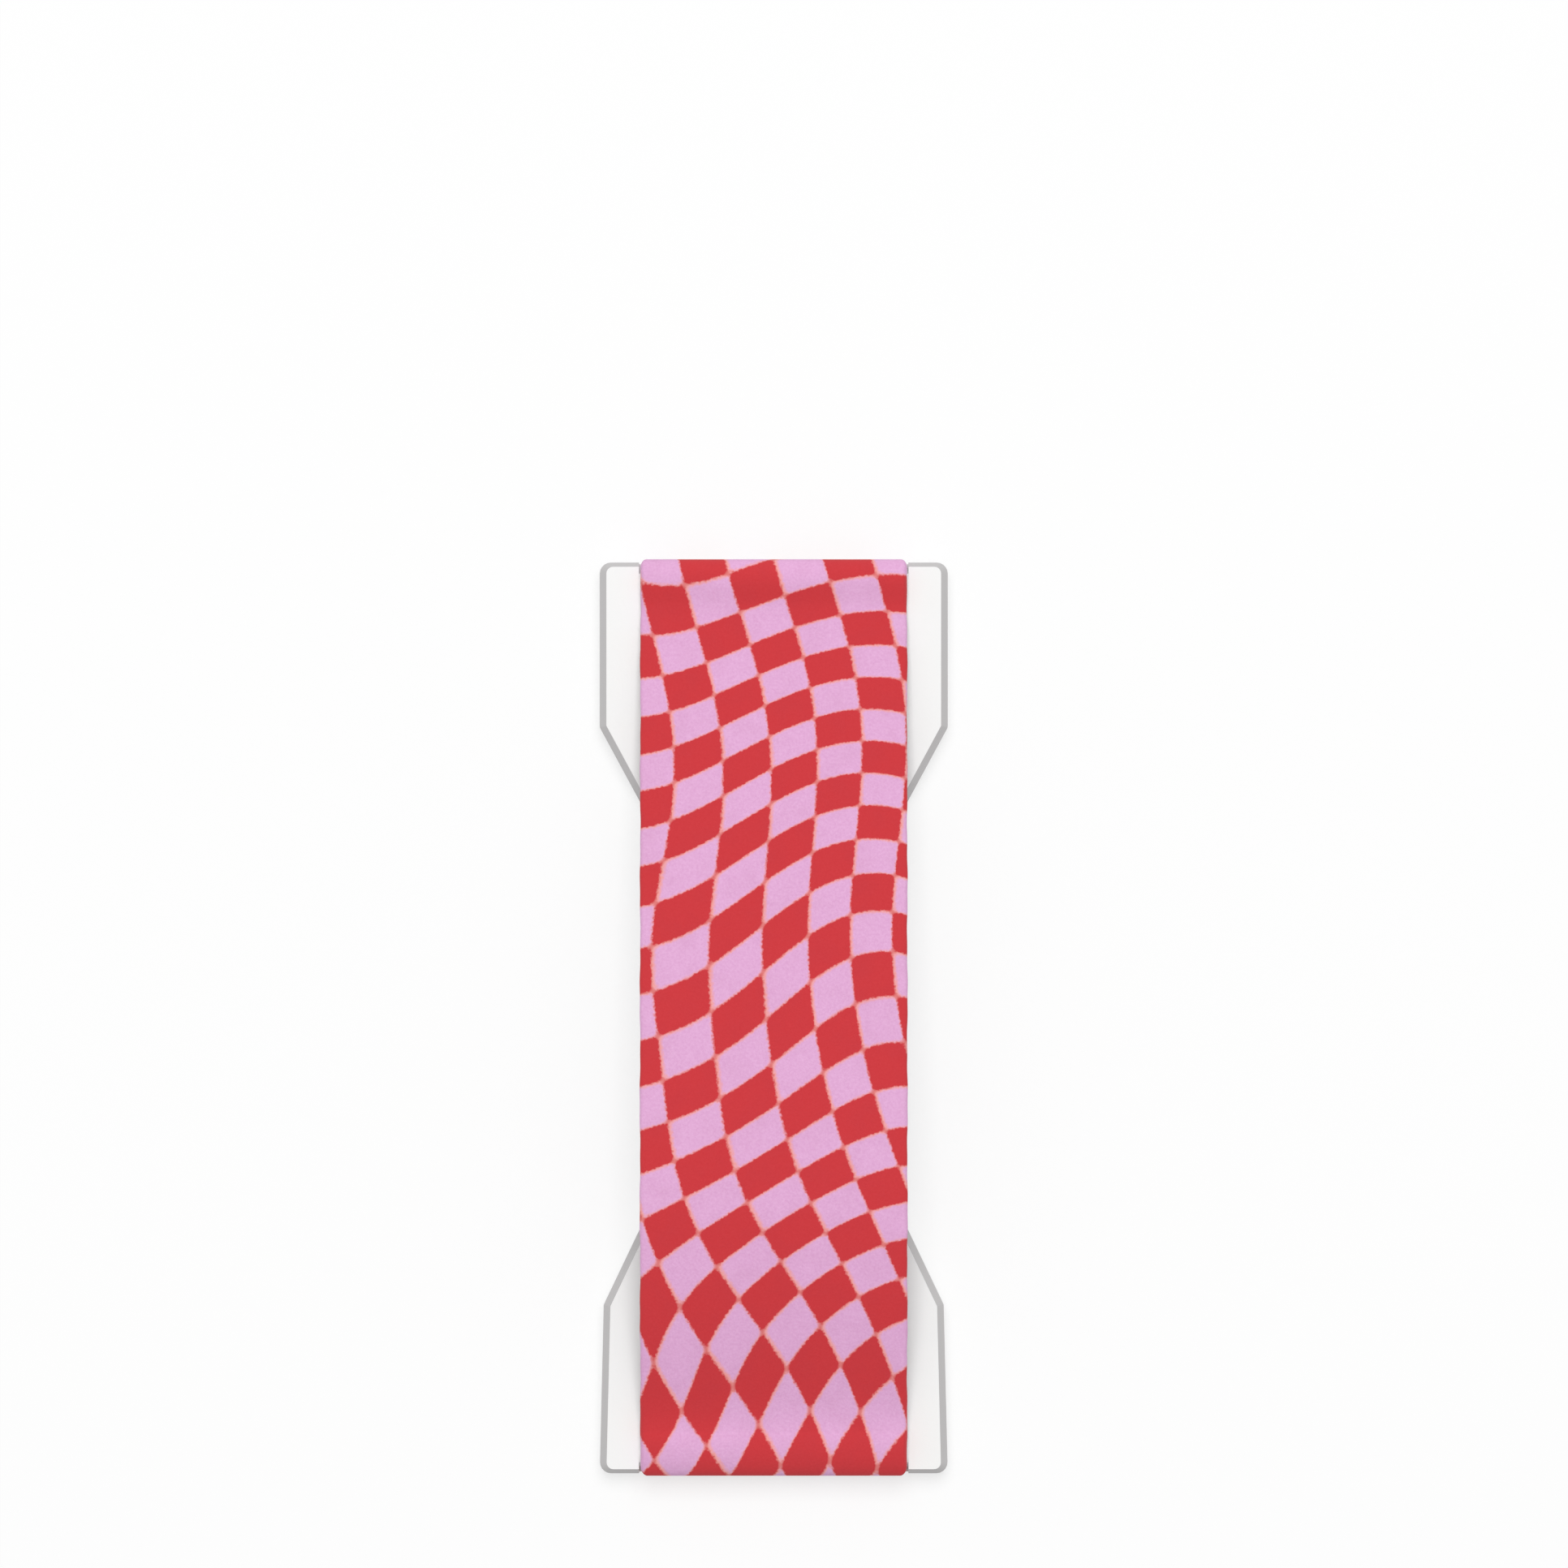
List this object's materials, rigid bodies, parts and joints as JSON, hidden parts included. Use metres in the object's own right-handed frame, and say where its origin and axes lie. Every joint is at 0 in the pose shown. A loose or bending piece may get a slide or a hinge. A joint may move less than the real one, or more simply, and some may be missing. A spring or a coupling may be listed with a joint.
{
  "type": "phone finger strap",
  "caption": "Elastic finger strap wrapped over the end bars of a waisted plastic base with an adhesive back, printed with a warped red and pink check.",
  "frame": {"origin": "middle of the adhesive's underside, which lies against the phone", "axes": "+X across the strap, +Y along the strap towards the phone's upper end, +Z out of the phone"},
  "size_m": [0.0362, 0.0954, 0.0098],
  "materials": {
    "foam_tape": "matte pale grey foam tape",
    "backing_plastic": "matte off-white moulded plastic",
    "white_plastic": "satin white moulded plastic",
    "printed_elastic": "soft brushed woven elastic, printed with a warped check in red and pink"
  },
  "bodies": {
    "root": {"adhesive_pad": "foam_tape", "backing_plate": "backing_plastic", "base_plate": "white_plastic", "elastic_strap": "printed_elastic"}
  },
  "joints": []
}
